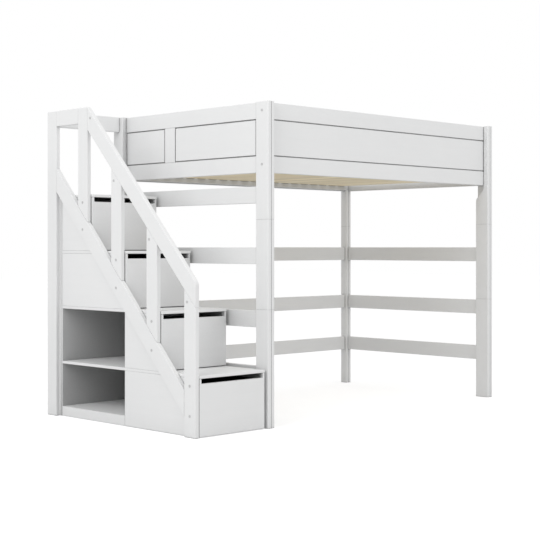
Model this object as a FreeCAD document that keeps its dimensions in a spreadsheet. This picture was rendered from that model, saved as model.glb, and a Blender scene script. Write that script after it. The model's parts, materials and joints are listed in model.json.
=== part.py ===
import FreeCAD, Part
import os
import re
import Sketcher

# A white wooden loft bed with a drawer staircase along its left short end.
# Sizes are in millimetres. X runs along the bed, Y from its open front to its rear, Z up.
# Places are counted from the outer front corner of the front left post, and the whole
# is then shifted so that the origin lies on the floor under the middle of the object.

SIZES = {
    # Bed frame
    "bed_long": 2070,
    "bed_wide": 1327,
    "post_thick": 50,
    "post_wide": 100,
    "rear_post_wide": 55,
    "post_high": 1800,
    "post_round": 6,
    "lamella_groove_wide": 3,
    "lamella_groove_deep": 3,
    "notch_drop": 92,
    "notch_rise": 65,
    "notch_round": 36,
    "post_end_edge": 2,
    "seam_wide": 1.5,
    "seam_deep": 1.5,
    # Rails and guards
    "rail_thick": 27,
    "rail_high": 93,
    "rail_edge": 2,
    "end_rail_setback": 4,
    "guard_drop": 3,
    "guard_high": 390,
    "guard_rail_high": 92,
    "panel_core_thick": 7,
    "panel_field_thick": 25,
    "panel_tongue": 8,
    "panel_shadow_gap": 6,
    "panel_edge": 1.5,
    "stile_wide": 94,
    "stile_front": 803,
    # Slatted base
    "ledger_wide": 30,
    "ledger_high": 30,
    "ledger_lift": 6,
    "slat_wide": 70,
    "slat_thick": 18,
    "slat_edge": 2,
    "slat_end_gap": 4,
    "slat_first": 40,
    # Staircase cabinet
    "stair_gap": 18,
    "cabinet_wide": 470,
    "stair_front": 8,
    "board_thick": 16,
    "board_edge": 2,
    "tread_edge": 3,
    "rear_panel_thick": 25,
    "rear_overhang": 10,
    "landing_overhang": 35,
    "front_setback": 1,
    # Bookcase in the rear of the cabinet
    "bookcase_lap": 6,
    "bookcase_floor": 58,
    # Drawers
    "drawer_front_thick": 18,
    "drawer_side_gap": 1.5,
    "drawer_floor_gap": 4,
    "drawer_top_gap": 1,
    "drawer_edge": 1.5,
    "finger_slot_high": 26,
    "finger_slot_end": 12,
    "finger_slot_round": 4,
    "tray_wall": 12,
    "tray_floor": 8,
    "tray_clear": 5,
    "tray_lift": 22,
    "tray_rear_gap": 20,
    "tray_edge": 1,
    "runner_thick": 12,
    "runner_high": 45,
    "runner_ledge_wide": 9,
    "runner_ledge_thick": 4,
    "running_gap": 0.3,
    # Balustrade and landing
    "upright_wide": 92,
    "upright_edge": 3,
    "newel_front": 9,
    "pitch_ease": 4,
    "stringer_start": 246,
    "stringer_high": 138,
    "handrail_drop": 131,
    "handrail_high": 130,
    "handrail_nose": 40,
    "landing_guard_high": 500,
    "landing_rail_high": 91,
    "spacer_wide": 60,
    "spacer_high": 60,
    "spacer_low": 60,
    "spacer_top": 210,
    # Cover caps over the bolts
    "cap_radius": 7,
    "cap_thick": 2,
    "cap_above_stringer": 68,
    "cap_below_stringer": 88,
    "cap_below_handrail": 42,
    "cap_rearward": 21,
    "newel_cap_above": 25,
    "newel_cap_below": 133,
    "handrail_cap_back": 27,
    "handrail_cap_up": 93,
    "overrun": 5,
}
SLAT_COUNT = 20
STEP_COUNT = 4
TOP_NEWEL = 3
CAP_SIDES = 12
# Heights of the level rails as shares of the guards' bottom, and of the posts' seams as shares of the posts
LOWER_RAIL_SHARE = 0.175
MIDDLE_RAIL_SHARE = 0.392
UPPER_RAIL_SHARE = 0.641
HEAD_RAIL_SHARE = 0.8806
SEAM_SHARES = (0.362, 0.638)

# Sizes that follow from the others: the stairs climb to the bed and reach as far back as it does
GOING_TOTAL = "bed_wide + landing_overhang - upright_wide - rear_overhang - stair_front"
HANDRAIL_RUN = f"baluster_pitch * {TOP_NEWEL} - upright_wide"
DERIVED = {
    "step_rise": f"(post_high - landing_guard_high) / {STEP_COUNT}",
    "step_going": f"({GOING_TOTAL}) / {STEP_COUNT}",
    "bookcase_front": f"stair_front + step_going * {STEP_COUNT // 2} - bookcase_lap",
    "tray_high": "step_rise - board_thick - drawer_top_gap - finger_slot_high - tray_lift - tray_clear",
    "baluster_pitch": "step_going + pitch_ease",
    "handrail_start": f"post_high - handrail_drop - ({HANDRAIL_RUN}) * step_rise / step_going",
}

# Places that several pieces share, as sums of the sizes above
STAIR_REACH = "(stair_gap + cabinet_wide + rail_thick)"
MIDDLE_X = f"((bed_long - {STAIR_REACH}) / 2)"
CABINET_REAR = f"(stair_front + step_going * {STEP_COUNT} + rear_overhang)"
MIDDLE_Y = f"(({CABINET_REAR} + upright_wide) / 2)"
CABINET_LEFT = "(-(stair_gap + cabinet_wide))"
INNER_PANEL_X = "(-(stair_gap + board_thick))"
REAR_PANEL_Y = f"({CABINET_REAR} - rear_panel_thick)"
INNER_WIDE = "(cabinet_wide - 2 * board_thick)"
PARTITION_REAR = "(bookcase_front + board_thick)"
FRONT_DEEP = "(drawer_front_thick + front_setback)"
BALUSTRADE_X = f"(-{STAIR_REACH})"
SLOPE = "(step_rise / step_going)"
NEWEL_REAR = "(newel_front + upright_wide)"
RAIL_SETBACK_Y = "((post_wide - rail_thick) / 2)"
END_RAIL_RIGHT = "(bed_long - end_rail_setback - rail_thick)"
SPAN_X = "(bed_long - 2 * post_thick)"
GUARD_SPAN_X = "(bed_long - post_thick)"
LAMELLA = "(post_thick / 2)"
REAR_POST_Y = "(bed_wide - rear_post_wide)"
REAR_RAIL_Y = "(bed_wide - (rear_post_wide + rail_thick) / 2)"
SPAN_Y = f"({REAR_POST_Y} - post_wide)"
FIELD_HIGH = "(guard_high - 2 * guard_rail_high)"
GUARD_BOTTOM = "(post_high - guard_drop - guard_high)"
NOTCH_BOTTOM = f"({GUARD_BOTTOM} - notch_drop)"

doc = FreeCAD.newDocument("LoftBed")
sheet = doc.addObject("Spreadsheet::Sheet", "Sizes")
followers = {alias: f"={text}" for alias, text in DERIVED.items()}
for row, (alias, value) in enumerate({**SIZES, **followers}.items(), start=1):
    cell = f"A{row}"
    sheet.set(cell, str(value))
    sheet.setAlias(cell, alias)
    doc.recompute()

SIZE_NAME = re.compile(r"[a-z][a-z0-9_]*")
pieces = []


def formula(text):
    """A sum of sizes with every size name pointed at its cell."""
    return SIZE_NAME.sub(lambda word: f"Sizes.{word[0]}", text)


def new_piece(label, x, y, z):
    """An empty piece whose own corner lies at a place counted from the front left post."""
    body = doc.addObject("PartDesign::Body", label)
    body.Label = label
    body.AllowCompound = True
    for axis, text in zip("xyz", (f"{x} - {MIDDLE_X}", f"{y} - {MIDDLE_Y}", z)):
        body.setExpression(f"Placement.Base.{axis}", formula(text))
    pieces.append(body)
    return body


def block(body, lengths, at=("0", "0", "0"), cut=False):
    """A rectangular block added to a piece or cut from it."""
    kind = "Subtractive" if cut else "Additive"
    feature = body.newObject(f"PartDesign::{kind}Box", f"{body.Label}_{kind}_block")
    for side, text in zip(("Length", "Width", "Height"), lengths):
        feature.setExpression(side, formula(text))
    for axis, text in zip("xyz", at):
        feature.setExpression(f"Placement.Base.{axis}", formula(text))
    return feature


def dress(body, kind, size_name, wanted=None):
    """Round or bevel the edges of a piece that a test picks, or all of them."""
    doc.recompute()
    base = body.Tip
    edges = base.Shape.Edges
    names = [f"Edge{place}" for place, edge in enumerate(edges, start=1) if wanted is None or wanted(edge)]
    if not names:
        raise RuntimeError(f"{body.Label}: no edge to dress")
    feature = body.newObject(f"PartDesign::{kind}", f"{body.Label}_{kind}")
    feature.Base = (base, names)
    feature.setExpression("Radius" if kind == "Fillet" else "Size", formula(size_name))
    return feature


def outline_pad(body, points, thickness, x="0"):
    """A board cut to an outline in the Y-Z plane, given thickness along X from a place on."""
    sketch = body.newObject("Sketcher::SketchObject", f"{body.Label}_outline")
    plane = next(feature for feature in body.Origin.OriginFeatures if feature.Role == "YZ_Plane")
    sketch.AttachmentSupport = [(plane, "")]
    sketch.MapMode = "FlatFace"
    sketch.setExpression("AttachmentOffset.Base.z", formula(x))
    count = len(points)
    corners = [FreeCAD.Vector(index + 1, (index + 1) ** 2, 0) for index in range(count)]
    for index in range(count):
        sketch.addGeometry(Part.LineSegment(corners[index], corners[(index + 1) % count]))
    for index in range(count):
        sketch.addConstraint(Sketcher.Constraint("Coincident", index, 2, (index + 1) % count, 1))
    for index, point in enumerate(points):
        for direction, axis, text, start in zip(("DistanceX", "DistanceY"), (-2, -1), point, corners[index]):
            if text == "0":
                sketch.addConstraint(Sketcher.Constraint("PointOnObject", index, 1, axis))
                continue
            number = sketch.addConstraint(Sketcher.Constraint(direction, -1, 1, index, 1, start))
            sketch.setExpression(f"Constraints[{number}]", formula(text))
    pad = body.newObject("PartDesign::Pad", f"{body.Label}_pad")
    pad.Profile = sketch
    pad.setExpression("Length", formula(thickness))
    sketch.Visibility = False
    return pad


def along_x(edge):
    """True for a straight edge that runs along X."""
    box = edge.BoundBox
    return box.XLength > box.YLength and box.XLength > box.ZLength


def upright_edge(edge):
    """True for a straight edge that runs up and down."""
    box = edge.BoundBox
    return box.ZLength > box.XLength and box.ZLength > box.YLength


def board(label, lengths, at, edge="board_edge"):
    """One plain board with eased edges."""
    body = new_piece(label, *at)
    block(body, lengths)
    dress(body, "Chamfer", edge)
    return body


def front_post(label, x, inner_x, outer_x):
    """A front post of two glued lamellas, the inner one cut back in a curve behind the guard."""
    body = new_piece(label, x, "0", "0")
    block(body, (LAMELLA, "post_wide", "post_high"), (outer_x, "0", "0"))
    curve_top = f"({NOTCH_BOTTOM} + notch_rise)"
    points = [("0", "0"), ("post_wide", "0"), ("post_wide", NOTCH_BOTTOM)]
    points += [(RAIL_SETBACK_Y, curve_top), (RAIL_SETBACK_Y, "post_high"), ("0", "post_high")]
    outline_pad(body, points, LAMELLA, inner_x)
    dress(body, "Fillet", "notch_round", on_curve_bend)
    finish_post(body, "post_wide", f"{NOTCH_BOTTOM} - notch_round + overrun")


def rear_post(label, x):
    """A rear post, narrower than a front one and straight all the way up."""
    body = new_piece(label, x, REAR_POST_Y, "0")
    block(body, ("post_thick", "rear_post_wide", "post_high"))
    finish_post(body, "rear_post_wide", "post_high + 2 * overrun")


def finish_post(body, wide, inner_groove_high):
    """Eased edges, the grooves between the two lamellas, and the seams."""
    dress(body, "Chamfer", "post_end_edge", on_post_end)
    dress(body, "Fillet", "post_round", on_post_corner)
    groove_x = "(post_thick - lamella_groove_wide) / 2"
    faces = (("-overrun", "post_high + 2 * overrun"), (f"{wide} - lamella_groove_deep", inner_groove_high))
    for y, high in faces:
        groove = ("lamella_groove_wide", "lamella_groove_deep + overrun", high)
        block(body, groove, (groove_x, y, "-overrun"), cut=True)
    for share in SEAM_SHARES:
        post_seam(body, wide, f"post_high * {share}")


def post_seam(body, wide, z):
    """A fine groove round a post where its lengths are joined."""
    past = "seam_deep + overrun"
    across = ("post_thick + 2 * overrun", past, "seam_wide")
    along = (past, f"{wide} + 2 * overrun", "seam_wide")
    for lengths, x, y in ((across, "-overrun", "-overrun"), (across, "-overrun", f"{wide} - seam_deep"),
                          (along, "-overrun", "-overrun"), (along, "post_thick - seam_deep", "-overrun")):
        block(body, lengths, (x, y, z), cut=True)


def on_curve_bend(edge):
    """True for the two edges across a post's inner lamella where its curve begins and ends."""
    box = edge.BoundBox
    low = sheet.post_high - sheet.guard_drop - sheet.guard_high - sheet.notch_drop
    levels = (low, low + sheet.notch_rise)
    return along_x(edge) and any(abs(box.ZMin - level) < sheet.running_gap for level in levels)


def on_post_end(edge):
    """True for the outer edges of a post's two ends."""
    box = edge.BoundBox
    close = sheet.running_gap
    return box.ZMax < close or box.ZMin > sheet.post_high - close


def on_post_corner(edge):
    """True for a post's long outer upright edges."""
    box = edge.BoundBox
    close = sheet.running_gap
    on_side = box.XMax < close or box.XMin > sheet.post_thick - close
    return on_side and upright_edge(edge) and box.ZLength > sheet.post_high / 2


def add_posts():
    """The four corner posts."""
    right_x = "bed_long - post_thick"
    front_post("front_left_post", "0", LAMELLA, "0")
    front_post("front_right_post", right_x, "0", LAMELLA)
    rear_post("rear_left_post", "0")
    rear_post("rear_right_post", right_x)


def guard_rails(name, lengths_of, x, y):
    """The top and lower rail of a guard, each grooved for the panel."""
    along = lengths_of.index("rail_thick") == 1
    top_z = f"{GUARD_BOTTOM} + guard_high - guard_rail_high"
    lower_groove_z = "guard_rail_high - panel_tongue"
    for part, z, groove_z in (("top", top_z, "-overrun"), ("lower", GUARD_BOTTOM, lower_groove_z)):
        body = new_piece(f"{name}_guard_{part}_rail", x, y, z)
        block(body, (*lengths_of, "guard_rail_high"))
        dress(body, "Chamfer", "rail_edge")
        groove_side = "(rail_thick - panel_core_thick) / 2"
        cut_high = "panel_tongue + overrun"
        if along:
            cut_long = (f"{lengths_of[0]} + 2 * overrun", "panel_core_thick", cut_high)
            block(body, cut_long, ("-overrun", groove_side, groove_z), cut=True)
        else:
            cut_long = ("panel_core_thick", f"{lengths_of[1]} + 2 * overrun", cut_high)
            block(body, cut_long, (groove_side, "-overrun", groove_z), cut=True)


def guard_panel(label, span, x, y, along):
    """A panel between two guard rails: a core with tongues and a raised field on both sides."""
    body = new_piece(label, x, y, f"{GUARD_BOTTOM} + guard_rail_high - panel_tongue")
    core_side = "(rail_thick - panel_core_thick) / 2"
    field_side = "(rail_thick - panel_field_thick) / 2"
    field_long = f"{span} - 2 * panel_shadow_gap"
    field_high = f"{FIELD_HIGH} - 2 * panel_shadow_gap"
    core_high = f"{FIELD_HIGH} + 2 * panel_tongue"
    field_z = "panel_tongue + panel_shadow_gap"
    if along:
        block(body, (field_long, "panel_field_thick", field_high), ("panel_shadow_gap", field_side, field_z))
        dress(body, "Chamfer", "panel_edge")
        block(body, (span, "panel_core_thick", core_high), ("0", core_side, "0"))
    else:
        block(body, ("panel_field_thick", field_long, field_high), (field_side, "panel_shadow_gap", field_z))
        dress(body, "Chamfer", "panel_edge")
        block(body, ("panel_core_thick", span, core_high), (core_side, "0", "0"))


def add_guards():
    """The framed guards round the bed; the left one has a stile between its two panels."""
    right_x = END_RAIL_RIGHT
    front = ("front", GUARD_SPAN_X, LAMELLA, RAIL_SETBACK_Y)
    rear = ("rear", SPAN_X, "post_thick", REAR_RAIL_Y)
    for name, span, x, y in (front, rear):
        guard_rails(name, (span, "rail_thick"), x, y)
        guard_panel(f"{name}_guard_panel", span, x, y, True)
    for name, x in (("left_end", "end_rail_setback"), ("right_end", right_x)):
        guard_rails(name, ("rail_thick", SPAN_Y), x, "post_wide")
    guard_panel("right_end_guard_panel", SPAN_Y, right_x, "post_wide", False)
    stile = ("rail_thick", "stile_wide", FIELD_HIGH)
    stile_z = f"{GUARD_BOTTOM} + guard_rail_high"
    board("left_end_guard_stile", stile, ("end_rail_setback", "stile_front", stile_z), "rail_edge")
    front_span = "(stile_front - post_wide)"
    guard_panel("left_end_guard_front_panel", front_span, "end_rail_setback", "post_wide", False)
    stile_rear = "(stile_front + stile_wide)"
    rear_span = f"({REAR_POST_Y} - {stile_rear})"
    guard_panel("left_end_guard_rear_panel", rear_span, "end_rail_setback", stile_rear, False)


def rail_group(label, lengths, x, y, bottoms):
    """Level rails one above the other between two posts."""
    body = new_piece(label, x, y, "0")
    for bottom in bottoms:
        block(body, (*lengths, "rail_high"), ("0", "0", bottom))
    dress(body, "Chamfer", "rail_edge")


def add_rails():
    """The rails below the bed at both ends and along the rear."""
    shares = (LOWER_RAIL_SHARE, MIDDLE_RAIL_SHARE, UPPER_RAIL_SHARE)
    bottoms = [f"{GUARD_BOTTOM} * {share}" for share in shares]
    head_bottom = f"{GUARD_BOTTOM} * {HEAD_RAIL_SHARE}"
    end_rail = ("rail_thick", SPAN_Y)
    rail_group("left_end_rails", end_rail, "end_rail_setback", "post_wide", (*bottoms, head_bottom))
    right_x = END_RAIL_RIGHT
    rail_group("right_end_rails", end_rail, right_x, "post_wide", bottoms)
    rail_group("rear_rails", (SPAN_X, "rail_thick"), "post_thick", REAR_RAIL_Y, bottoms)


def add_slatted_base():
    """Two ledgers on the long lower guard rails and the slats that lie across them."""
    rail_inner = f"({RAIL_SETBACK_Y} + rail_thick)"
    section = ("ledger_wide", "ledger_high")
    ledger_bottom = f"({GUARD_BOTTOM} + ledger_lift)"
    board("front_slat_ledger", (GUARD_SPAN_X, *section), (LAMELLA, rail_inner, ledger_bottom))
    rear_y = f"{REAR_RAIL_Y} - ledger_wide"
    board("rear_slat_ledger", (SPAN_X, *section), ("post_thick", rear_y, ledger_bottom))
    slat_y = f"({rail_inner} + slat_end_gap)"
    body = new_piece("slats", "post_thick + slat_first", slat_y, f"{ledger_bottom} + ledger_high")
    slat = block(body, ("slat_wide", f"{REAR_RAIL_Y} - slat_end_gap - {slat_y}", "slat_thick"))
    pattern = body.newObject("PartDesign::LinearPattern", "slats_row")
    pattern.Originals = [slat]
    axis = next(feature for feature in body.Origin.OriginFeatures if feature.Role == "X_Axis")
    pattern.Direction = (axis, [""])
    pattern.setExpression("Length", formula(f"{SPAN_X} - 2 * slat_first - slat_wide"))
    pattern.Occurrences = SLAT_COUNT
    body.Tip = pattern
    dress(body, "Chamfer", "slat_edge", along_y_edge)


def along_y_edge(edge):
    """True for a straight edge that runs along Y."""
    box = edge.BoundBox
    return box.YLength > box.XLength and box.YLength > box.ZLength


def step_front(step):
    """The front of a step, counted from 1 at the bottom."""
    return f"(stair_front + step_going * {step - 1})"


def level_bottom(step):
    """The height on which a step's drawer stands."""
    return f"(step_rise * {step - 1})"


def add_treads():
    """The level boards: each is a tread in front and a shelf or floor behind."""
    for step in range(1, STEP_COUNT + 1):
        z = f"{level_bottom(step)} + step_rise - board_thick"
        body = new_piece(f"step_{step}_tread", CABINET_LEFT, step_front(step), z)
        deep = f"{REAR_PANEL_Y} - {step_front(step)}"
        block(body, ("cabinet_wide - board_thick", deep, "board_thick"))
        block(body, ("cabinet_wide", FRONT_DEEP, "board_thick"))
        dress(body, "Fillet", "tread_edge", tread_nose)
        dress(body, "Chamfer", "board_edge", tread_side)


def tread_nose(edge):
    """True for the two long front edges of a tread."""
    box = edge.BoundBox
    front = edge.BoundBox.YMax < sheet.overrun - sheet.tread_edge
    return along_x(edge) and front and box.XLength > sheet.cabinet_wide / 2


def tread_side(edge):
    """True for the long edges of a tread on the open side of the stairs."""
    return along_y_edge(edge) and edge.BoundBox.XMax < sheet.running_gap


def add_side_boards():
    """The outer boards of the cabinet, one to a level, and the stepped board beside the bed."""
    for step in range(1, STEP_COUNT + 1):
        front = f"({step_front(step)} + {FRONT_DEEP})"
        rear = PARTITION_REAR if step <= STEP_COUNT / 2 else REAR_PANEL_Y
        lengths = ("board_thick", f"{rear} - {front}", "step_rise - board_thick")
        board(f"step_{step}_side_board", lengths, (CABINET_LEFT, front, level_bottom(step)))
    rear = f"{REAR_PANEL_Y} - {step_front(1)} - {FRONT_DEEP}"
    points = [("0", "0")]
    for step in range(1, STEP_COUNT + 1):
        run = f"step_going * {step - 1}" if step > 1 else "0"
        if step > 1:
            points.append((run, f"step_rise * {step - 1}"))
        points.append((run, f"step_rise * {step}"))
    points.append((rear, f"step_rise * {STEP_COUNT}"))
    points.append((rear, "0"))
    body = new_piece("stair_inner_panel", INNER_PANEL_X, f"{step_front(1)} + {FRONT_DEEP}", "0")
    outline_pad(body, points, "board_thick")


def add_bookcase():
    """The open bookcase, as deep as the cabinet: a floor on its plinth, partitions and the rear panel."""
    bay_long = f"({REAR_PANEL_Y} - {PARTITION_REAR})"
    base = new_piece("bookcase_base", CABINET_LEFT, PARTITION_REAR, "0")
    floor = ("cabinet_wide - board_thick", bay_long, "board_thick")
    block(base, floor, ("0", "0", "bookcase_floor - board_thick"))
    block(base, ("board_thick", bay_long, "bookcase_floor - board_thick"))
    partitions = new_piece("bookcase_partitions", f"{CABINET_LEFT} + board_thick", "bookcase_front", "0")
    for step in range(1, STEP_COUNT // 2 + 1):
        place = ("0", "0", level_bottom(step))
        block(partitions, (INNER_WIDE, "board_thick", "step_rise - board_thick"), place)
    rear = ("cabinet_wide", "rear_panel_thick", f"step_rise * {STEP_COUNT}")
    board("stair_rear_panel", rear, (CABINET_LEFT, REAR_PANEL_Y, "0"))


def tray_long(step):
    """The length of a step's tray, up to what stands behind it."""
    wall = "bookcase_front" if step <= STEP_COUNT / 2 else REAR_PANEL_Y
    return f"({wall} - tray_rear_gap - {step_front(step)} - drawer_front_thick)"


def slot_corner(edge):
    """True for the short inner corners at the bottom of a finger slot."""
    box = edge.BoundBox
    level = sheet.step_rise - sheet.board_thick - sheet.drawer_top_gap - sheet.drawer_floor_gap
    slot_floor = level - sheet.finger_slot_high
    low = abs(box.ZMin - slot_floor) < sheet.running_gap and box.ZLength < sheet.running_gap
    return along_y_edge(edge) and low


def add_drawers():
    """Each step holds a drawer: a front with a finger slot in its top edge and an open tray."""
    front_high = "(step_rise - board_thick - drawer_top_gap - drawer_floor_gap)"
    front_wide = "(cabinet_wide - 2 * drawer_side_gap)"
    tray_wide = f"({INNER_WIDE} - 2 * runner_thick - 2 * running_gap)"
    for step in range(1, STEP_COUNT + 1):
        front_x = f"{CABINET_LEFT} + drawer_side_gap"
        front_z = f"{level_bottom(step)} + drawer_floor_gap"
        front = new_piece(f"drawer_{step}_front", front_x, step_front(step), front_z)
        block(front, (front_wide, "drawer_front_thick", front_high))
        dress(front, "Chamfer", "drawer_edge")
        slot_wide = f"{front_wide} - 2 * finger_slot_end"
        slot = (slot_wide, "drawer_front_thick + 2 * overrun", "finger_slot_high + overrun")
        block(front, slot, ("finger_slot_end", "-overrun", f"{front_high} - finger_slot_high"), cut=True)
        dress(front, "Fillet", "finger_slot_round", slot_corner)
        tray_x = f"{CABINET_LEFT} + board_thick + runner_thick + running_gap"
        tray_y = f"{step_front(step)} + drawer_front_thick"
        tray = new_piece(f"drawer_{step}_tray", tray_x, tray_y, f"{level_bottom(step)} + tray_lift")
        block(tray, (tray_wide, tray_long(step), "tray_high"))
        dress(tray, "Chamfer", "tray_edge")
        hollow = (f"{tray_wide} - 2 * tray_wall", f"{tray_long(step)} - 2 * tray_wall", "tray_high")
        block(tray, hollow, ("tray_wall", "tray_wall", "tray_floor"), cut=True)


def add_runners():
    """A pair of angle runners under each tray, fixed to the cabinet's side boards."""
    body = new_piece("drawer_runners", f"{CABINET_LEFT} + board_thick", "0", "0")
    for step in range(1, STEP_COUNT + 1):
        y = f"{step_front(step)} + {FRONT_DEEP}"
        long = f"{tray_long(step)} - front_setback"
        bottom = f"{level_bottom(step)} + tray_lift - running_gap - runner_ledge_thick"
        ledge = "(runner_thick + runner_ledge_wide)"
        for wall_x, ledge_x in (("0", "0"), (f"{INNER_WIDE} - runner_thick", f"{INNER_WIDE} - {ledge}")):
            block(body, ("runner_thick", long, "runner_high"), (wall_x, y, bottom))
            block(body, (ledge, long, "runner_ledge_thick"), (ledge_x, y, bottom))


def rake(start, y):
    """The height of a raking edge at a place along the stairs."""
    return f"({start} + ({y} - {NEWEL_REAR}) * {SLOPE})"


def upright_front(place):
    """The front of an upright of the balustrade, counted from 0 at the bottom newel."""
    return f"(newel_front + baluster_pitch * {place})"


def add_balustrade():
    """The raking balustrade: stringer, newels and balusters cut on the rake, and the handrail."""
    uprights = ("stair_newel", "lower_baluster", "upper_baluster", "top_newel")
    for place, label in enumerate(uprights):
        front = upright_front(place)
        rear = f"({front} + upright_wide)"
        feet = ("0", "0") if place == 0 else (rake("stringer_start", front), rake("stringer_start", rear))
        tops = (rake("handrail_start", front), rake("handrail_start", rear))
        if place == TOP_NEWEL:
            tops = ("post_high", "post_high")
        points = [("0", feet[0]), ("upright_wide", feet[1]), ("upright_wide", tops[1]), ("0", tops[0])]
        body = new_piece(label, BALUSTRADE_X, front, "0")
        outline_pad(body, points, "rail_thick")
        dress(body, "Chamfer", "upright_edge")
    stringer_long = f"({CABINET_REAR} - {NEWEL_REAR})"
    climb = f"{stringer_long} * {SLOPE}"
    low = "stringer_start - stringer_high"
    points = [("0", low), (stringer_long, f"{low} + {climb}")]
    points += [(stringer_long, f"stringer_start + {climb}"), ("0", "stringer_start")]
    body = new_piece("stair_stringer", BALUSTRADE_X, NEWEL_REAR, "0")
    outline_pad(body, points, "rail_thick")
    dress(body, "Chamfer", "rail_edge")
    top_front = upright_front(TOP_NEWEL)
    rail_long = f"({top_front} - newel_front)"
    start = rake("handrail_start", "newel_front")
    end = rake("handrail_start", top_front)
    points = [("0", start), (rail_long, end)]
    points += [(rail_long, f"{end} + handrail_high"), ("0", f"{start} + handrail_high")]
    body = new_piece("stair_handrail", BALUSTRADE_X, "newel_front", "0")
    outline_pad(body, points, "rail_thick")
    dress(body, "Fillet", "handrail_nose", handrail_nose)
    dress(body, "Chamfer", "rail_edge", across_grain)


def handrail_nose(edge):
    """True for the upper corner at the bottom end of the handrail."""
    box = edge.BoundBox
    middle = (sheet.handrail_start + sheet.handrail_start + sheet.handrail_high) / 2
    climb = sheet.upright_wide * sheet.step_rise / sheet.step_going
    return along_x(edge) and box.YMax < sheet.upright_edge and box.ZMin > middle - climb


def across_grain(edge):
    """True for the edges round the two broad faces of the handrail."""
    return not along_x(edge)


def add_landing():
    """The landing's posts and rails, and the spacers that tie the stairs to the bed."""
    upright = ("rail_thick", "upright_wide", "post_high")
    rail_z = "post_high - landing_rail_high"
    inner_x = "(-rail_thick)"
    board("landing_post", upright, (BALUSTRADE_X, CABINET_REAR, "0"), "upright_edge")
    board("inner_landing_post", upright, (inner_x, CABINET_REAR, "0"), "upright_edge")
    side_y = f"({upright_front(TOP_NEWEL)} + upright_wide)"
    side = ("rail_thick", f"{CABINET_REAR} - {side_y}", "landing_rail_high")
    board("landing_side_rail", side, (BALUSTRADE_X, side_y, rail_z), "rail_edge")
    back_y = f"{CABINET_REAR} + (upright_wide - rail_thick) / 2"
    back = ("stair_gap + cabinet_wide - rail_thick", "rail_thick", "landing_rail_high")
    board("landing_back_rail", back, (CABINET_LEFT, back_y, rail_z), "rail_edge")
    spacers = new_piece("stair_spacers", "(-stair_gap)", "0", "0")
    spacer = ("stair_gap", "spacer_wide", "spacer_high")
    for height in ("spacer_low", "spacer_top"):
        block(spacers, spacer, ("0", "post_wide - spacer_wide", height))


def cap(body, x, y, z):
    """One round cover cap on a face that looks along X."""
    feature = body.newObject("PartDesign::AdditivePrism", "cap")
    feature.Polygon = CAP_SIDES
    feature.setExpression("Circumradius", formula("cap_radius"))
    feature.setExpression("Height", formula("cap_thick"))
    feature.Placement.Rotation = FreeCAD.Rotation(FreeCAD.Vector(0, 1, 0), 90)
    for axis, text in zip("xyz", (x, y, z)):
        feature.setExpression(f"Placement.Base.{axis}", formula(text))


def add_caps():
    """The cover caps over the bolts in the posts and the balustrade."""
    body = new_piece("bolt_caps", "0", "0", "0")
    guard_tops = f"{GUARD_BOTTOM} + guard_high - guard_rail_high / 2"
    guard_lows = f"{GUARD_BOTTOM} + guard_rail_high / 2"
    front_y, rear_y = "post_wide / 2", "bed_wide - rear_post_wide / 2"
    for x, y in (("-cap_thick", front_y), ("bed_long", front_y), ("bed_long", rear_y)):
        for z in (guard_tops, guard_lows):
            cap(body, x, y, z)
    face = f"{BALUSTRADE_X} - cap_thick"
    for place in range(TOP_NEWEL + 1):
        y = f"({upright_front(place)} + upright_wide / 2)"
        joint = rake("stringer_start", y) if place else "stringer_start"
        above = "cap_above_stringer" if place else "newel_cap_above"
        below = "cap_below_stringer" if place else "newel_cap_below"
        cap(body, face, y, f"{joint} + {above}")
        cap(body, face, y, f"{joint} - {below}")
        if place < TOP_NEWEL:
            rearward = f"({y} + cap_rearward)"
            cap(body, face, rearward, f"{rake('handrail_start', rearward)} - cap_below_handrail")
    y = f"({upright_front(TOP_NEWEL)} - handrail_cap_back)"
    cap(body, face, y, f"{rake('handrail_start', y)} + handrail_cap_up")


def write_parts():
    """Check every object, then write each piece to its own file."""
    doc.recompute()
    for item in doc.Objects:
        if "Invalid" in item.State or "Error" in item.State:
            raise RuntimeError(f"{item.Name} failed: {item.State}")
    os.makedirs("parts", exist_ok=True)
    for body in pieces:
        if body.Shape.isNull() or not body.Shape.isValid():
            raise RuntimeError(f"{body.Label} has no valid shape")
    for body in pieces:
        body.Shape.exportStep(f"parts/{body.Label}.step")


add_posts()
add_guards()
add_rails()
add_slatted_base()
add_treads()
add_side_boards()
add_bookcase()
add_drawers()
add_runners()
add_balustrade()
add_landing()
add_caps()
write_parts()
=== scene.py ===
import json
import math

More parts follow.
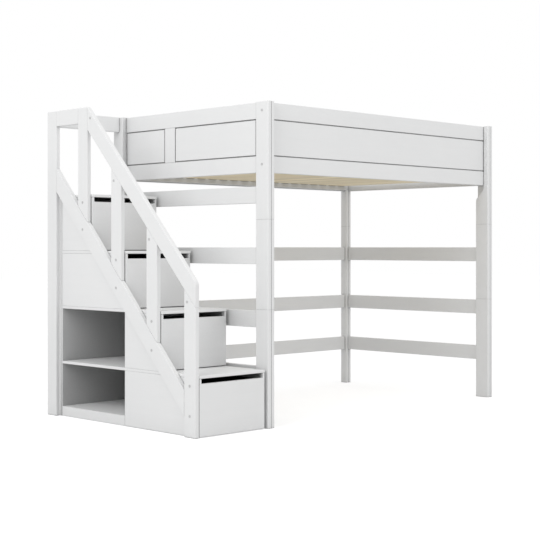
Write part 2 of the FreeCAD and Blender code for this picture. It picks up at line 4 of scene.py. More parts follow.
import bpy
from bpy.props import FloatProperty, FloatVectorProperty, IntProperty, PointerProperty
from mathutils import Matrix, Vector


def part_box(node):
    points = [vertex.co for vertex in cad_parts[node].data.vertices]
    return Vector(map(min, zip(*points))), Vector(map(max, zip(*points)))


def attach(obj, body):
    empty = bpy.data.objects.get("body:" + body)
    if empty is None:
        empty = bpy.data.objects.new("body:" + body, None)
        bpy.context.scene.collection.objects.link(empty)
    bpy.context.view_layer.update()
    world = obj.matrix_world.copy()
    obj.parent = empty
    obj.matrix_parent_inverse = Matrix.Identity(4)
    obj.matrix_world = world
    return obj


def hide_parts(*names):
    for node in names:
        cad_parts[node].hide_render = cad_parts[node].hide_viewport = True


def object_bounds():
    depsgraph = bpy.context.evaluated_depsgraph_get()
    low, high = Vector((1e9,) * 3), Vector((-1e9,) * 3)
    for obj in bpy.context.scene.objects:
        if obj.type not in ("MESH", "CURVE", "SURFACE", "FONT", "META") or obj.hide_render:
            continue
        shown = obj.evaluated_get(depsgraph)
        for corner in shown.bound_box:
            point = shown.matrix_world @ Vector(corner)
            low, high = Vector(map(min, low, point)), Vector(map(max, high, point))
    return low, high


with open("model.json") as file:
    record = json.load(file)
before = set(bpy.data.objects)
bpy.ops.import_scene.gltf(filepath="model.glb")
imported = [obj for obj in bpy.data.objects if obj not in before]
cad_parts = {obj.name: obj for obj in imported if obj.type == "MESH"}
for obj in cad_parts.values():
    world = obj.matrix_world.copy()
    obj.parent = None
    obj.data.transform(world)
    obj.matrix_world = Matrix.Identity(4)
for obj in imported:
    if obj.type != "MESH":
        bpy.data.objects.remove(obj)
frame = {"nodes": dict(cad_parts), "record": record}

bl_info = {
    "name": "Loft Bed With Drawer Stairs",
    "version": (1, 0, 0),
    "blender": (4, 5, 0),
    "location": "View3D > Sidebar > Loft Bed",
    "description": "Finishes the loft bed's boards, slats, drawers and caps, and sets up the studio",
    "category": "Object",
}

CAD_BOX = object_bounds()
NODES = frame["nodes"]
ROOT_BODY = "bed"
STEPS = (1, 2, 3, 4)
QUARTER_TURN = math.pi / 2
WHITE = (1.0, 1.0, 1.0, 1.0)

# The way the grain runs in each board: along the bed, across it, or upright
UPRIGHT_BOARDS = (
    "front_left_post", "front_right_post", "rear_left_post", "rear_right_post",
    "left_end_guard_stile", "stair_newel", "lower_baluster", "upper_baluster", "top_newel",
    "landing_post", "inner_landing_post", "stair_spacers",
    "stair_inner_panel", "bookcase_partitions", "stair_rear_panel",
)
LENGTHWISE_BOARDS = (
    "front_guard_top_rail", "front_guard_lower_rail", "front_guard_panel",
    "rear_guard_top_rail", "rear_guard_lower_rail", "rear_guard_panel", "rear_rails",
    "front_slat_ledger", "rear_slat_ledger", "landing_back_rail",
    "drawer_1_front", "drawer_2_front", "drawer_3_front", "drawer_4_front",
)
GRAIN_WAYS = {
    "Upright": (1.0, 1.0, 0.05),
    "Lengthwise": (0.05, 1.0, 1.0),
    "Crosswise": (1.0, 0.05, 1.0),
}

# Boards whose lacquer gets painted shade: boards round the bookcase with the way into it from each,
# and boards in the nooks beside the stairs and under the slats
SHADED_INNER_SIDES = {
    "stair_inner_panel": (-1.0, 0.0, 0.0),
    "stair_rear_panel": (0.0, -1.0, 0.0),
    "bookcase_partitions": (0.0, 1.0, 0.0),
}
ALL_SIDES = (0.0, 0.0, 0.0)
SHADED_NOOK_BOARDS = (
    "drawer_2_front", "drawer_3_front", "drawer_4_front", "left_end_rails", "inner_landing_post",
    "left_end_guard_front_panel", "left_end_guard_rear_panel", "left_end_guard_stile",
    "left_end_guard_top_rail", "left_end_guard_lower_rail", "right_end_guard_lower_rail",
    "rear_guard_lower_rail", "front_slat_ledger", "rear_slat_ledger",
)

# Noise in the finishes: its scale, its detail and its roughness
FINE_GRAIN = (260.0, 4.0, 0.6)
BROAD_GRAIN = (34.0, 3.0, 0.5)
GRAIN_CLOUDS = (2.4, 3.0, 0.5)
DUST_SPECKS = (21.0, 6.0, 0.65)
SPECKLE_DETAIL = 5.0
SPECKLE_ROUGHNESS = 0.6

# The noise between which grain goes from light to dark, and the grain under the lacquer and on the slats
GRAIN_RANGE = (0.5, 1.1)
LACQUER_GRAIN = (("Fineness", 1.0), ("Contrast", 0.8), ("Roughness Spread", 0.10))
SLAT_GRAIN = (
    ("Fineness", 0.75), ("Contrast", 1.0), ("Roughness Spread", 0.2), ("Roughness", 0.55),
    ("Stretch", (1.0, 0.06, 1.0)),
)

# Strength and depth of the relief
LACQUER_RELIEF = (0.18, 0.0004)
SLAT_RELIEF = (0.3, 0.0006)
SPECKLE_RELIEF = (0.2, 0.0002)

# Gloss of the lacquer, tones of the darkest and the lightest slat, and spread of a speckle's roughness
LACQUER_SPECULAR = 0.4
SLAT_TONES = (0.86, 1.1)
SPECKLE_SPREAD = 0.06

# How fast the painted shade in a seam darkens, how much of a hollow's painted shade is left on faces
# that look up, and the samples that are taken round each point
SEAM_POWER = 2.0
HOLLOW_LOOKING_UP = 0.15
CREVICE_SAMPLES = 6

# Places of a Mix node's colour sockets
MIX_SHARE = 0
MIX_FIRST = 6
MIX_SECOND = 7
MIX_RESULT = 2

# A button's slope as a share of its rim, its middle's edge of its radius, and its middle's rise of its dish
BUTTON_SLOPE = 0.6
BUTTON_MIDDLE = 0.3
BUTTON_RISE = 0.35

# A screw head's rim as a share of its radius, and its dish and bevel as shares of its height
SCREW_RIM = 0.3
SCREW_DISH = 0.6
SCREW_BEVEL = 0.3

# Angles past which an edge is sharp or bevelled, the steps in a bevel, the least upward normal
# of a top face, and the decimals in which two corners at one place agree
SMOOTH_ANGLE = math.radians(35)
BEVEL_ANGLE = math.radians(40)
BEVEL_SEGMENTS = 2
TOP_NORMAL = 0.9
CORNER_DECIMALS = 5


# Properties

class LoftBedFinish(bpy.types.PropertyGroup):
    """Colours and surface values that a user would change."""

    lacquer_color: FloatVectorProperty(
        name="Lacquer colour", description="The white lacquer on the boards", subtype="COLOR",
        size=4, min=0, max=1, default=(0.797, 0.80, 0.801, 1.0))
    lacquer_shade: FloatVectorProperty(
        name="Lacquer shade", description="The lacquer where the grain below it shows through",
        subtype="COLOR", size=4, min=0, max=1, default=(0.760, 0.765, 0.767, 1.0))
    lacquer_roughness: FloatProperty(
        name="Lacquer roughness", description="How satin the lacquer is", subtype="FACTOR",
        min=0, max=1, default=0.42)
    dust_color: FloatVectorProperty(
        name="Dust colour", description="The dust on faces that look up", subtype="COLOR",
        size=4, min=0, max=1, default=(0.7, 0.69, 0.67, 1.0))
    dust_amount: FloatProperty(
        name="Dust amount", description="How much of the lacquer the dust hides", subtype="FACTOR",
        min=0, max=1, default=0.12)
    slat_color: FloatVectorProperty(
        name="Slat colour", description="The early wood of the slats", subtype="COLOR",
        size=4, min=0, max=1, default=(0.93, 0.83, 0.61, 1.0))
    slat_shade: FloatVectorProperty(
        name="Slat shade", description="The late wood of the slats", subtype="COLOR",
        size=4, min=0, max=1, default=(0.83, 0.71, 0.49, 1.0))
    # Depths of the shade painted into the lacquer's colour in seams, the bookcase, the nooks and the open
    seam_shade_depth: FloatProperty(
        name="Seam depth", description="How dark the lacquer gets in grooves and seams", subtype="FACTOR",
        min=0, max=1, default=0.85)
    inner_shade_depth: FloatProperty(
        name="Inner depth", description="How dark the lacquer gets deep inside the bookcase",
        subtype="FACTOR", min=0, max=1, default=0.7)
    nook_shade_depth: FloatProperty(
        name="Nook depth", description="How dark the lacquer gets beside the stairs and under the slats",
        subtype="FACTOR", min=0, max=1, default=0.42)
    open_shade_depth: FloatProperty(
        name="Open depth", description="How dark the lacquer gets beside other boards in the open",
        subtype="FACTOR", min=0, max=1, default=0.1)
    # The trays' near-black colour is painted shadow for the finger slots above the drawer fronts
    tray_shadow_color: FloatVectorProperty(
        name="Tray colour", description="The dark foil of the drawer trays", subtype="COLOR",
        size=4, min=0, max=1, default=(0.018, 0.018, 0.019, 1.0))
    runner_color: FloatVectorProperty(
        name="Runner colour", description="The powder coat of the drawer runners", subtype="COLOR",
        size=4, min=0, max=1, default=(0.42, 0.42, 0.43, 1.0))
    screw_color: FloatVectorProperty(
        name="Screw colour", description="The steel of the slat screws", subtype="COLOR",
        size=4, min=0, max=1, default=(0.55, 0.55, 0.54, 1.0))
    screw_shade: FloatVectorProperty(
        name="Screw shade", description="The darker specks in the steel", subtype="COLOR",
        size=4, min=0, max=1, default=(0.42, 0.42, 0.42, 1.0))
    cap_color: FloatVectorProperty(
        name="Cap colour", description="The plastic of the bolt caps", subtype="COLOR",
        size=4, min=0, max=1, default=(0.58, 0.58, 0.58, 1.0))


class LoftBedSizes(bpy.types.PropertyGroup):
    """Reaches of the painted shade, and sizes of the small pieces that are added to the frame."""

    # Reaches of the shade painted into the lacquer's colour
    seam_shade_reach: FloatProperty(
        name="Seam reach", description="How far off the sides of a seam still shade it",
        unit="LENGTH", default=0.012)
    inner_shade_reach: FloatProperty(
        name="Inner reach", description="How far off a board still shades the bookcase's inside",
        unit="LENGTH", default=0.6)
    nook_shade_reach: FloatProperty(
        name="Nook reach", description="How far off a board still shades a nook",
        unit="LENGTH", default=0.35)
    open_shade_reach: FloatProperty(
        name="Open reach", description="How far off a board still shades another in the open",
        unit="LENGTH", default=0.1)
    cap_sides: IntProperty(
        name="Cap sides", description="Corners of a bolt cap's circle", min=12, max=64, default=32)
    cap_rim: FloatProperty(
        name="Cap rim", description="Width of the raised rim of a bolt cap", unit="LENGTH", default=0.0016)
    cap_dish: FloatProperty(
        name="Cap dish", description="Depth of the dish inside the rim", unit="LENGTH", default=0.0007)
    cap_bevel: FloatProperty(
        name="Cap bevel", description="Rounding of a bolt cap's outer edge", unit="LENGTH", default=0.0006)
    screw_sides: IntProperty(
        name="Screw sides", description="Corners of a screw head's circle", min=8, max=64, default=16)
    screw_radius: FloatProperty(
        name="Screw radius", description="Radius of a slat screw's head", unit="LENGTH", default=0.0042)
    screw_proud: FloatProperty(
        name="Screw height", description="How far a slat screw's head stands up",
        unit="LENGTH", default=0.0012)


class LoftBedStage(bpy.types.PropertyGroup):
    """The studio around the bed."""

    camera_place: FloatVectorProperty(
        name="Camera place", description="Where the camera stands", subtype="TRANSLATION",
        size=3, default=(-5.4935, -5.586, 0.995))
    camera_turn: FloatProperty(
        name="Camera turn", description="The camera's turn about the vertical", subtype="ANGLE",
        default=math.radians(-45))
    camera_lens: FloatProperty(
        name="Camera lens", description="Focal length in millimetres",
        subtype="DISTANCE_CAMERA", default=82.8)
    camera_shift_x: FloatProperty(
        name="Camera shift X", description="Sideways shift of the frame", default=-0.0417)
    camera_shift_y: FloatProperty(
        name="Camera shift Y", description="Upward shift of the frame", default=-0.042)
    world_strength: FloatProperty(
        name="World strength", description="Strength of the soft light from all round", min=0, default=0.765)
    side_place: FloatVectorProperty(
        name="Side lamp place", description="Where the lamp on the stair side hangs",
        subtype="TRANSLATION", size=3, default=(-6.0, -1.2, 4.3))
    side_size: FloatProperty(
        name="Side lamp size", description="Width of the lamp on the stair side", unit="LENGTH", default=4.0)
    side_power: FloatProperty(
        name="Side lamp", description="Power of the large lamp on the stair side", unit="POWER", default=150)
    front_place: FloatVectorProperty(
        name="Front lamp place", description="Where the lamp in front hangs",
        subtype="TRANSLATION", size=3, default=(0.6, -6.5, 4.3))
    front_size: FloatProperty(
        name="Front lamp size", description="Width of the lamp in front", unit="LENGTH", default=4.5)
    front_power: FloatProperty(
        name="Front lamp", description="Power of the large lamp in front", unit="POWER", default=102)
    lamp_target: FloatVectorProperty(
        name="Lamp target", description="The point that both lamps look at", subtype="TRANSLATION",
        size=3, default=(0.0, 0.0, 0.9))
    floor_color: FloatVectorProperty(
        name="Floor colour", description="The plain pale floor", subtype="COLOR",
        size=4, min=0, max=1, default=(0.64, 0.64, 0.64, 1.0))
    floor_glow: FloatProperty(
        name="Floor glow", description="White added to the floor that is seen, leaving faint shadows",
        min=0, max=1, default=0.52)
    floor_reach: FloatProperty(
        name="Floor reach", description="Half the width of the floor", unit="LENGTH", default=30.0)


# Shader nodes

def add_node(tree, kind, links=(), **values):
    """A node with its settings and its linked or fixed inputs."""
    node = tree.nodes.new(kind)
    for key, value in values.items():
        setattr(node, key, value)
    for socket, source in links:
        if isinstance(source, bpy.types.NodeSocket):
            tree.links.new(source, node.inputs[socket])
        else:
            node.inputs[socket].default_value = source
    return node


def calculated(tree, operation, *values, clamp=False):
    """The result of a Math node on linked or fixed values."""
    node = add_node(tree, "ShaderNodeMath", enumerate(values), operation=operation, use_clamp=clamp)
    return node.outputs[0]


def ranged(tree, value, low, high, source=(0.0, 1.0)):
    """A value carried over from one range to another."""
    node = add_node(tree, "ShaderNodeMapRange", [
        ("Value", value), ("From Min", source[0]), ("From Max", source[1]),
        ("To Min", low), ("To Max", high)])
    return node.outputs["Result"]


def mixed(tree, share, first, second):
    """A colour between two others."""
    node = add_node(tree, "ShaderNodeMix", [
        (MIX_SHARE, share), (MIX_FIRST, first), (MIX_SECOND, second)], data_type="RGBA")
    return node.outputs[MIX_RESULT]


def object_place(tree):
    """Object coordinates, which stay with a piece wherever it moves."""
    return add_node(tree, "ShaderNodeTexCoord").outputs["Object"]


def looking_up(tree):
    """How far a face looks up, from minus one to one."""
    normal = add_node(tree, "ShaderNodeNewGeometry").outputs["Normal"]
    return add_node(tree, "ShaderNodeSeparateXYZ", [(0, normal)]).outputs["Z"]


def noise(tree, place, scale, detail, roughness):
    """The value of a noise texture."""
    node = add_node(tree, "ShaderNodeTexNoise", [
        ("Vector", place), ("Scale", scale), ("Detail", detail), ("Roughness", roughness)])
    return node.outputs["Fac"]


def stretched_noise(tree, place, stretch, fineness, kind):
    """Noise of a kind that is drawn out along the grain, finer or coarser by a factor."""
    scale, detail, roughness = kind
    drawn = add_node(tree, "ShaderNodeVectorMath", [(0, place), (1, stretch)], operation="MULTIPLY")
    fine_scale = calculated(tree, "MULTIPLY", fineness, scale)
    return noise(tree, drawn.outputs["Vector"], fine_scale, detail, roughness)


# Shader node groups

def new_group(name, inputs, outputs):
    """An empty shader node group with named sockets, and the sockets to take from and to give to."""
    group = bpy.data.node_groups.new(name, "ShaderNodeTree")
    for label, kind in inputs.items():
        group.interface.new_socket(name=label, in_out="INPUT", socket_type=f"NodeSocket{kind}")
    for label, kind in outputs.items():
        group.interface.new_socket(name=label, in_out="OUTPUT", socket_type=f"NodeSocket{kind}")
    start = group.nodes.new("NodeGroupInput")
    end = group.nodes.new("NodeGroupOutput")
    return group, start.outputs, end.inputs


def grain_group():
    """Wood grain drawn out along one way, with the tone, the gloss and the relief that it gives."""
    group, given, result = new_group(
        "Grain",
        {"Light": "Color", "Dark": "Color", "Stretch": "Vector", "Fineness": "Float", "Contrast": "Float",
         "Roughness": "Float", "Roughness Spread": "Float"},
        {"Color": "Color", "Roughness": "Float", "Height": "Float"})
    place = object_place(group)
    fine = stretched_noise(group, place, given["Stretch"], given["Fineness"], FINE_GRAIN)
    broad = stretched_noise(group, place, given["Stretch"], given["Fineness"], BROAD_GRAIN)
    clouds = noise(group, place, *GRAIN_CLOUDS)
    figure = calculated(group, "MULTIPLY_ADD", fine, broad, clouds)
    shaped = ranged(group, figure, 0.0, given["Contrast"], GRAIN_RANGE)
    tint = mixed(group, shaped, given["Light"], given["Dark"])
    gloss = calculated(group, "MULTIPLY_ADD", broad, given["Roughness Spread"], given["Roughness"])
    group.links.new(tint, result["Color"])
    group.links.new(gloss, result["Roughness"])
    group.links.new(fine, result["Height"])
    return group


def dust_group():
    """A thin veil of dust that lies on faces that look up, broken by noise."""
    group, given, result = new_group(
        "Dust", {"Color": "Color", "Dust": "Color", "Amount": "Float"}, {"Color": "Color"})
    specks = noise(group, object_place(group), *DUST_SPECKS)
    lying = calculated(group, "MULTIPLY", looking_up(group), specks, clamp=True)
    share = calculated(group, "MULTIPLY", lying, given["Amount"], clamp=True)
    veil = mixed(group, share, given["Color"], given["Dust"])
    group.links.new(veil, result["Color"])
    return group


# Painted shade: ambient occlusion darkens the colour wherever a point is closed in
def closed_in(group, reach):
    """How far a point is closed in by what lies within a reach."""
    probe = add_node(group, "ShaderNodeAmbientOcclusion", [("Distance", reach)], samples=CREVICE_SAMPLES)
    return calculated(group, "SUBTRACT", 1.0, probe.outputs["AO"])


def dimmed(group, closed, depth):
    """The share of a colour that is left under painted shade where a point is closed in to a degree."""
    loss = calculated(group, "MULTIPLY", closed, depth)
    return calculated(group, "SUBTRACT", 1.0, loss, clamp=True)


def crevice_shade_group():
    """Paints shade into the colour: darkens fine seams, and hollows on faces that look neither up nor away
    from the hollow's side.
    """
    group, given, result = new_group(
        "CreviceShade",
        {"Color": "Color", "Seam Reach": "Float", "Seam Depth": "Float", "Hollow Reach": "Float",
         "Hollow Depth": "Float", "Hollow Side": "Vector"},
        {"Color": "Color"})
    seam_sunk = calculated(group, "POWER", closed_in(group, given["Seam Reach"]), SEAM_POWER)
    seam = dimmed(group, seam_sunk, given["Seam Depth"])
    turned_away = ranged(group, looking_up(group), 1.0, HOLLOW_LOOKING_UP)
    sunk = calculated(group, "MULTIPLY", closed_in(group, given["Hollow Reach"]), turned_away)
    normal = add_node(group, "ShaderNodeNewGeometry").outputs["Normal"]
    facing = add_node(group, "ShaderNodeVectorMath", [
        (0, normal), (1, given["Hollow Side"])], operation="DOT_PRODUCT")
    on_side = calculated(group, "ADD", 1.0, facing.outputs["Value"], clamp=True)
    inside = calculated(group, "MULTIPLY", sunk, on_side)
    hollow = dimmed(group, inside, given["Hollow Depth"])
    both = calculated(group, "MULTIPLY", seam, hollow)
    shaded = add_node(group, "ShaderNodeVectorMath", [
        (0, given["Color"]), ("Scale", both)], operation="SCALE")
    group.links.new(shaded.outputs["Vector"], result["Color"])
    return group


def use_group(tree, name, maker, links):
    """A node that places a shared group, made the first time that it is asked for."""
    group = bpy.data.node_groups.get(name) or maker()
    return add_node(tree, "ShaderNodeGroup", links, node_tree=group)


# Materials

def new_material(name):
    """A node material with its shader."""
    material = bpy.data.materials.new(name)
    material.use_nodes = True
    return material, material.node_tree, material.node_tree.nodes["Principled BSDF"]


def seen_rays(tree):
    """One for rays that show the background: from the camera, off a gloss or through glass."""
    rays = add_node(tree, "ShaderNodeLightPath").outputs
    gloss = calculated(tree, "MAXIMUM", rays["Is Camera Ray"], rays["Is Glossy Ray"])
    return calculated(tree, "MAXIMUM", gloss, rays["Is Transmission Ray"])


def relief(tree, shader, height, strength, distance):
    """A bump that feeds the shader's normal."""
    bump = add_node(tree, "ShaderNodeBump", [
        ("Height", height), ("Strength", strength), ("Distance", distance)])
    tree.links.new(bump.outputs["Normal"], shader.inputs["Normal"])


def lacquer(name, stretch, hollow_reach, hollow_depth, hollow_side):
    """Satin white lacquer with the board's grain faintly under it, and shade painted into its colour in seams
    and hollows.
    """
    finish = bpy.context.scene.loft_bed_finish
    sizes = bpy.context.scene.loft_bed_sizes
    material, tree, shader = new_material(name)
    grain = use_group(tree, "Grain", grain_group, (
        *LACQUER_GRAIN, ("Light", finish.lacquer_color), ("Dark", finish.lacquer_shade),
        ("Roughness", finish.lacquer_roughness), ("Stretch", stretch)))
    veil = use_group(tree, "Dust", dust_group, (
        ("Color", grain.outputs["Color"]), ("Dust", finish.dust_color), ("Amount", finish.dust_amount)))
    # Shade painted into the base colour by ambient occlusion, in seams and in hollows
    shade = use_group(tree, "CreviceShade", crevice_shade_group, (
        ("Color", veil.outputs["Color"]), ("Seam Reach", sizes.seam_shade_reach), ("Seam Depth", finish.seam_shade_depth),
        ("Hollow Reach", hollow_reach), ("Hollow Depth", hollow_depth), ("Hollow Side", hollow_side)))
    tree.links.new(shade.outputs["Color"], shader.inputs["Base Color"])
    tree.links.new(grain.outputs["Roughness"], shader.inputs["Roughness"])
    shader.inputs["Specular IOR Level"].default_value = LACQUER_SPECULAR
    relief(tree, shader, grain.outputs["Height"], *LACQUER_RELIEF)
    return material


def slat_wood(count):
    """Bare sanded wood whose tone changes from slat to slat."""
    finish = bpy.context.scene.loft_bed_finish
    material, tree, shader = new_material("Slat Wood")
    grain = use_group(tree, "Grain", grain_group, (
        *SLAT_GRAIN, ("Light", finish.slat_color), ("Dark", finish.slat_shade)))
    along = add_node(tree, "ShaderNodeSeparateXYZ", [(0, object_place(tree))]).outputs["X"]
    low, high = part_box("slats")
    number = calculated(tree, "SNAP", along, (high.x - low.x) / count)
    draw = add_node(tree, "ShaderNodeTexWhiteNoise", [("W", number)], noise_dimensions="1D")
    tone = ranged(tree, draw.outputs["Value"], *SLAT_TONES)
    toned = add_node(tree, "ShaderNodeHueSaturation", [("Color", grain.outputs["Color"]), ("Value", tone)])
    tree.links.new(toned.outputs["Color"], shader.inputs["Base Color"])
    tree.links.new(grain.outputs["Roughness"], shader.inputs["Roughness"])
    relief(tree, shader, grain.outputs["Height"], *SLAT_RELIEF)
    return material


def speckled(name, color, shade, scale, roughness, metallic=0.0):
    """A moulded, powder-coated or steel surface, or the trays' painted shadow, with a fine speckle in its
    tone and relief.
    """
    material, tree, shader = new_material(name)
    speckle = noise(tree, object_place(tree), scale, SPECKLE_DETAIL, SPECKLE_ROUGHNESS)
    tint = mixed(tree, speckle, color, shade)
    gloss = ranged(tree, speckle, roughness - SPECKLE_SPREAD, roughness + SPECKLE_SPREAD)
    tree.links.new(tint, shader.inputs["Base Color"])
    tree.links.new(gloss, shader.inputs["Roughness"])
    shader.inputs["Metallic"].default_value = metallic
    relief(tree, shader, speckle, *SPECKLE_RELIEF)
    return material


def darker(color, share):
    """A colour at a share of its brightness."""
    return (color[0] * share, color[1] * share, color[2] * share, 1.0)


def give(node, material):
    """Put a material in every slot of a frame node."""
    target = NODES[node]
    if not target.data.materials:
        target.data.materials.append(material)
    for place in range(len(target.data.materials)):
        target.data.materials[place] = material


# Modelling helpers

def deselect():
    """Leave nothing selected."""
    if bpy.context.object and bpy.context.object.mode != "OBJECT":
        bpy.ops.object.mode_set(mode="OBJECT")
    bpy.ops.object.select_all(action="DESELECT")


def finish_piece(piece, name, body, material):
    """Name a finished piece, put its place into its mesh, and tie it to its body."""
    deselect()
    piece.select_set(True)
    bpy.context.view_layer.objects.active = piece
    bpy.ops.object.transform_apply(location=True, rotation=True, scale=True)
    bpy.ops.object.shade_smooth_by_angle(angle=SMOOTH_ANGLE)
    piece.name = name
    piece.data.name = name
    piece.data.materials.clear()
    piece.data.materials.append(material)
    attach(piece, body)
    deselect()


def select_faces(piece, test):
    """In edit mode, select the faces that pass a test."""
    bpy.ops.mesh.select_all(action="DESELECT")
    bpy.ops.object.mode_set(mode="OBJECT")
    for polygon in piece.data.polygons:
        polygon.select = test(polygon)
    bpy.ops.object.mode_set(mode="EDIT")


def dished_button(sides, radius, height, rim, dish, bevel):
    """A round button with a raised rim and a dished face, looking up from the origin."""
    deselect()
    bpy.ops.mesh.primitive_cylinder_add(
        vertices=sides, radius=radius, depth=height, location=(0, 0, height / 2))
    button = bpy.context.object
    bpy.ops.object.transform_apply(location=True, rotation=True, scale=True)
    bpy.ops.object.mode_set(mode="EDIT")
    bpy.ops.mesh.select_mode(type="FACE")
    select_faces(button, lambda face: face.normal.z > TOP_NORMAL)
    bpy.ops.mesh.inset(thickness=rim, depth=0)
    bpy.ops.mesh.inset(thickness=rim * BUTTON_SLOPE, depth=-dish)
    bpy.ops.mesh.inset(thickness=radius * BUTTON_MIDDLE, depth=dish * BUTTON_RISE)
    bpy.ops.object.mode_set(mode="OBJECT")
    rounding = button.modifiers.new("Rounding", "BEVEL")
    rounding.width = bevel
    rounding.segments = BEVEL_SEGMENTS
    rounding.limit_method = "ANGLE"
    rounding.angle_limit = BEVEL_ANGLE
    bpy.ops.object.modifier_apply(modifier=rounding.name)
    return button


def separate_solids(node):
    """The lowest and highest corner of each separate solid in a frame node."""
    mesh = NODES[node].data
    links = list(range(len(mesh.vertices)))

    def top(index):
        while links[index] != index:
            links[index] = links[links[index]]
            index = links[index]
        return index

    seen = {}
    for vertex in mesh.vertices:
        key = tuple(round(value, CORNER_DECIMALS) for value in vertex.co)
        first = seen.setdefault(key, vertex.index)
        links[top(vertex.index)] = top(first)
    for edge in mesh.edges:
        links[top(edge.vertices[0])] = top(edge.vertices[1])
    groups = {}
    for vertex in mesh.vertices:
        groups.setdefault(top(vertex.index), []).append(vertex.co)
    boxes = []
    for points in groups.values():
        low = Vector([min(point[axis] for point in points) for axis in range(3)])
        high = Vector([max(point[axis] for point in points) for axis in range(3)])
        boxes.append((low, high))
    return sorted(boxes, key=lambda box: tuple(box[0]))


def join_copies(master, places):
    """Copies of a master at given places and turns, joined into one piece."""
    copies = []
    for place, turn in places:
        copy = master.copy()
        copy.data = master.data.copy()
        bpy.context.scene.collection.objects.link(copy)
        copy.location = place
        copy.rotation_euler = turn
        copies.append(copy)
    bpy.data.objects.remove(master)
    deselect()
    for copy in copies:
        copy.select_set(True)
    bpy.context.view_layer.objects.active = copies[0]
    bpy.ops.object.transform_apply(location=True, rotation=True, scale=True)
    if len(copies) > 1:
        bpy.ops.object.join()
    return bpy.context.object


# Operators

class LOFTBED_OT_lacquer(bpy.types.Operator):
    """Finish the boards of the bed and the stairs in white lacquer, with the grain along each board and shade
    painted into it in seams, nooks and the bookcase
    """

    bl_idname = "loftbed.lacquer"
    bl_label = "Lacquer Boards"

    def execute(self, context):
        for entry in frame["record"]["subparts"]:
            if entry["material_slot"] == "white_lacquer":
                give(entry["node"], self.lacquer_of(context.scene, entry["node"]))
        return {"FINISHED"}

    def lacquer_of(self, scene, node):
        """The lacquer for a board's grain and for the depth of shade painted in at its place, made the first
        time that it is asked for.
        """
        finish = scene.loft_bed_finish
        sizes = scene.loft_bed_sizes
        way = "Crosswise"
        if node in UPRIGHT_BOARDS:
            way = "Upright"
        elif node in LENGTHWISE_BOARDS:
            way = "Lengthwise"
        # Lit and shaded copies of one lacquer: each place gets its own depth of painted shade
        name, reach, depth = f"Lacquer Open {way}", sizes.open_shade_reach, finish.open_shade_depth
        if node in SHADED_INNER_SIDES:
            name, reach, depth = f"Lacquer Inner {node}", sizes.inner_shade_reach, finish.inner_shade_depth
        elif node in SHADED_NOOK_BOARDS:
            name, reach, depth = f"Lacquer Nook {way}", sizes.nook_shade_reach, finish.nook_shade_depth
        side = SHADED_INNER_SIDES.get(node, ALL_SIDES)
        return bpy.data.materials.get(name) or lacquer(name, GRAIN_WAYS[way], reach, depth, side)


class LOFTBED_OT_slats(bpy.types.Operator):
    """Give the slats their wood, and screw each to its ledgers"""

    bl_idname = "loftbed.slats"
    bl_label = "Finish Slats"

    def execute(self, context):
        sizes = context.scene.loft_bed_sizes
        finish = context.scene.loft_bed_finish
        slats = separate_solids("slats")
        give("slats", slat_wood(len(slats)))
        ledgers = [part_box(name) for name in ("front_slat_ledger", "rear_slat_ledger")]
        places = []
        for low, high in slats:
            middle = (low.x + high.x) / 2
            for ledger_low, ledger_high in ledgers:
                places.append((Vector((middle, (ledger_low.y + ledger_high.y) / 2, high.z)), (0, 0, 0)))
        screw = dished_button(
            sizes.screw_sides, sizes.screw_radius, sizes.screw_proud, sizes.screw_radius * SCREW_RIM,
            sizes.screw_proud * SCREW_DISH, sizes.screw_proud * SCREW_BEVEL)
        screws = join_copies(screw, places)
        steel = speckled(
            "Screw Steel", finish.screw_color, finish.screw_shade, scale=900.0, roughness=0.35, metallic=1.0)
        finish_piece(screws, "slat_screws", ROOT_BODY, steel)
        return {"FINISHED"}


class LOFTBED_OT_drawers(bpy.types.Operator):
    """Paint the drawer trays near black as painted shadow for the finger slots, and coat their runners"""

    bl_idname = "loftbed.drawers"
    bl_label = "Finish Drawers"

    def execute(self, context):
        finish = context.scene.loft_bed_finish
        # Near-black trays as painted shadow, so that the finger slots above the fronts read black
        shadow_speckle = darker(finish.tray_shadow_color, share=0.6)
        shadow = speckled("Tray Shadow", finish.tray_shadow_color, shadow_speckle, scale=420.0, roughness=0.6)
        for step in STEPS:
            give(f"drawer_{step}_tray", shadow)
        coat_shade = darker(finish.runner_color, share=0.85)
        coat = speckled(
            "Runner Coat", finish.runner_color, coat_shade, scale=700.0, roughness=0.4, metallic=0.6)
        give("drawer_runners", coat)
        return {"FINISHED"}


class LOFTBED_OT_caps(bpy.types.Operator):
    """Model the dished caps over the bolts in place of the plain ones"""

    bl_idname = "loftbed.caps"
    bl_label = "Model Bolt Caps"

    def execute(self, context):
        sizes = context.scene.loft_bed_sizes
        finish = context.scene.loft_bed_finish
        boxes = separate_solids("bolt_caps")
        low, high = boxes[0]
        radius = (high.y - low.y) / 2
        height = high.x - low.x
        button = dished_button(
            sizes.cap_sides, radius, height, sizes.cap_rim, sizes.cap_dish, sizes.cap_bevel)
        middle = (CAD_BOX[0].x + CAD_BOX[1].x) / 2
        places = []
        for low, high in boxes:
            centre = (low + high) / 2
            outward = 1 if centre.x > middle else -1
            foot = Vector((low.x if outward > 0 else high.x, centre.y, centre.z))
            places.append((foot, (0, outward * QUARTER_TURN, 0)))
        caps = join_copies(button, places)
        cap_shade = darker(finish.cap_color, share=0.85)
        plastic = speckled("Cap Plastic", finish.cap_color, cap_shade, scale=600.0, roughness=0.5)
        finish_piece(caps, "bolt_cap_buttons", ROOT_BODY, plastic)
        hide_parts("bolt_caps")
        return {"FINISHED"}


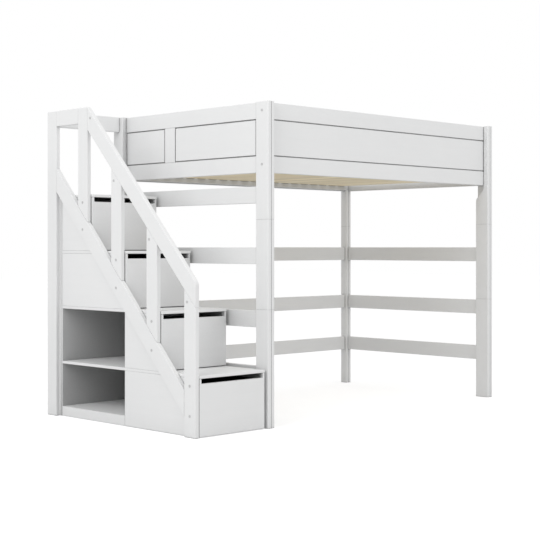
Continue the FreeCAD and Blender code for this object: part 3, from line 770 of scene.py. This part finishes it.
class LOFTBED_OT_stage(bpy.types.Operator):
    """Set up the floor, the lamps, the world and the camera"""

    bl_idname = "loftbed.stage"
    bl_label = "Set Up Studio"

    def execute(self, context):
        scene = context.scene
        stage = scene.loft_bed_stage
        self.add_floor(stage)
        self.add_world(scene, stage)
        self.add_lamp(scene, "Side Lamp", stage.side_place, stage.side_size, stage.side_power)
        self.add_lamp(scene, "Front Lamp", stage.front_place, stage.front_size, stage.front_power)
        self.add_camera(scene, stage)
        scene.view_settings.view_transform = "Standard"
        return {"FINISHED"}

    def add_floor(self, stage):
        deselect()
        bpy.ops.mesh.primitive_plane_add(size=2 * stage.floor_reach, location=(0, 0, CAD_BOX[0].z))
        floor = bpy.context.object
        floor.name = "studio_floor"
        material, tree, shader = new_material("Studio Floor")
        shader.inputs["Base Color"].default_value = stage.floor_color
        shader.inputs["Roughness"].default_value = 1.0
        shader.inputs["Specular IOR Level"].default_value = 0.0
        glow = add_node(tree, "ShaderNodeEmission", [("Color", WHITE), ("Strength", stage.floor_glow)])
        bright = add_node(tree, "ShaderNodeAddShader", [(0, shader.outputs[0]), (1, glow.outputs[0])])
        mix = add_node(tree, "ShaderNodeMixShader", [
            (0, seen_rays(tree)), (1, shader.outputs[0]), (2, bright.outputs[0])])
        tree.links.new(mix.outputs[0], tree.nodes["Material Output"].inputs["Surface"])
        floor.data.materials.append(material)

    def add_world(self, scene, stage):
        world = bpy.data.worlds.new("Studio")
        scene.world = world
        world.use_nodes = True
        tree = world.node_tree
        soft = tree.nodes["Background"]
        soft.inputs["Color"].default_value = WHITE
        soft.inputs["Strength"].default_value = stage.world_strength
        seen = add_node(tree, "ShaderNodeBackground", [("Color", WHITE), ("Strength", 1.0)])
        mix = add_node(tree, "ShaderNodeMixShader", [
            (0, seen_rays(tree)), (1, soft.outputs[0]), (2, seen.outputs[0])])
        tree.links.new(mix.outputs[0], tree.nodes["World Output"].inputs["Surface"])

    def add_lamp(self, scene, name, place, size, power):
        data = bpy.data.lights.new(name, "AREA")
        data.size = size
        data.energy = power
        lamp = bpy.data.objects.new(name, data)
        scene.collection.objects.link(lamp)
        lamp.location = place
        way = Vector(scene.loft_bed_stage.lamp_target) - Vector(place)
        lamp.rotation_euler = way.to_track_quat("-Z", "Y").to_euler()

    def add_camera(self, scene, stage):
        data = bpy.data.cameras.new("Camera")
        data.lens = stage.camera_lens
        data.shift_x = stage.camera_shift_x
        data.shift_y = stage.camera_shift_y
        camera = bpy.data.objects.new("Camera", data)
        scene.collection.objects.link(camera)
        camera.location = stage.camera_place
        camera.rotation_euler = (QUARTER_TURN, 0, stage.camera_turn)
        scene.camera = camera


class LOFTBED_PT_panel(bpy.types.Panel):
    """The finishing steps, in the 3D view's sidebar"""

    bl_idname = "LOFTBED_PT_panel"
    bl_label = "Loft Bed"
    bl_space_type = "VIEW_3D"
    bl_region_type = "UI"
    bl_category = "Loft Bed"

    def draw(self, context):
        layout = self.layout
        for operator in OPERATORS:
            layout.operator(operator.bl_idname)
        for group_name in GROUPS:
            group = getattr(context.scene, group_name)
            box = layout.box()
            for name in group.__annotations__:
                box.prop(group, name)


OPERATORS = (
    LOFTBED_OT_lacquer,
    LOFTBED_OT_slats,
    LOFTBED_OT_drawers,
    LOFTBED_OT_caps,
    LOFTBED_OT_stage,
)
GROUPS = {
    "loft_bed_finish": LoftBedFinish,
    "loft_bed_sizes": LoftBedSizes,
    "loft_bed_stage": LoftBedStage,
}


def register():
    for name, group in GROUPS.items():
        bpy.utils.register_class(group)
        setattr(bpy.types.Scene, name, PointerProperty(type=group))
    for operator in OPERATORS:
        bpy.utils.register_class(operator)
    bpy.utils.register_class(LOFTBED_PT_panel)


def unregister():
    bpy.utils.unregister_class(LOFTBED_PT_panel)
    for operator in reversed(OPERATORS):
        bpy.utils.unregister_class(operator)
    for name, group in GROUPS.items():
        delattr(bpy.types.Scene, name)
        bpy.utils.unregister_class(group)


def main():
    register()
    bpy.ops.loftbed.lacquer()
    bpy.ops.loftbed.slats()
    bpy.ops.loftbed.drawers()
    bpy.ops.loftbed.caps()
    bpy.ops.loftbed.stage()


if __name__ == "__main__":
    main()
